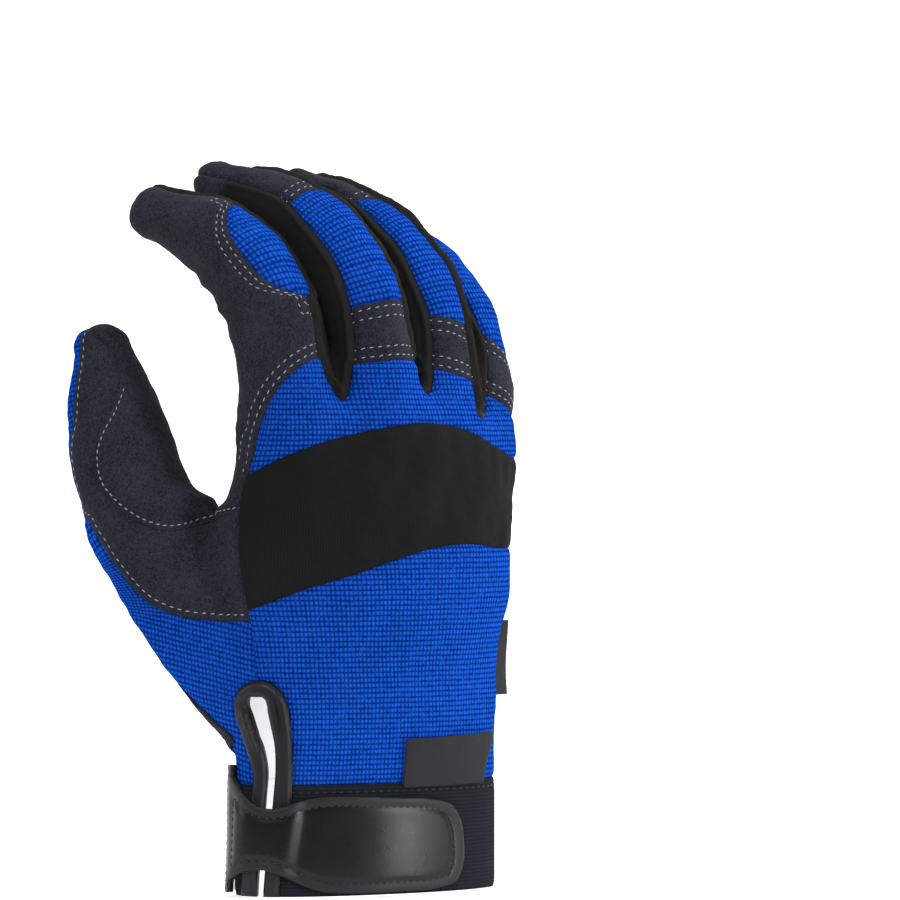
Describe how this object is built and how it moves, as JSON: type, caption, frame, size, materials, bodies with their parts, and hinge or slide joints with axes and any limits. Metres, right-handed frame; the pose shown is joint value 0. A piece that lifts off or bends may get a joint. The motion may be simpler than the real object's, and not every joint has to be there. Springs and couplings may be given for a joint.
{
  "type": "mechanic work glove",
  "caption": "Right-hand work glove with suede palm, ribbed knit back panels, a stretch band across the back, an elastic cuff and a leather wrist strap, shown in the form of a hand.",
  "frame": {"origin": "centre of the cuff's opening, on the plane of the hem", "axes": "+Z from the hem toward the fingertips, -Y out of the back of the hand, -X toward the thumb"},
  "size_m": [0.1403, 0.0818, 0.2312],
  "materials": {
    "blue_knit": "ribbed knit",
    "suede": "brushed suede",
    "stretch_band": "matte, finely ribbed",
    "stretch_strip": "smooth stretch cloth",
    "elastic": "ribbed elastic",
    "leather": "smooth, slightly glossy",
    "woven_label": "woven satin"
  },
  "bodies": {
    "root": {"index_wrap_panel": "suede", "middle_front_panel": "suede", "ring_front_panel": "suede", "little_front_panel": "suede", "thumb_inner_panel": "suede", "palm_panel": "suede", "thumb_saddle": "suede", "thenar_patch": "suede", "middle_knuckle_pad": "suede", "ring_knuckle_pad": "suede", "little_knuckle_pad": "suede", "middle_tip_cap": "suede", "ring_tip_cap": "suede", "back_lower_panel": "blue_knit", "back_upper_panel": "blue_knit", "index_back_panel": "blue_knit", "middle_back_panel": "blue_knit", "ring_back_panel": "blue_knit", "little_back_panel": "blue_knit", "thumb_side_panel": "blue_knit", "back_band": "stretch_band", "fork_index_middle": "stretch_strip", "fork_middle_ring": "stretch_strip", "fork_ring_little": "stretch_strip", "cuff_band": "elastic", "vent_binding": "leather", "closure_strap": "leather", "label_tag": "woven_label", "side_tab": "woven_label"}
  },
  "joints": []
}
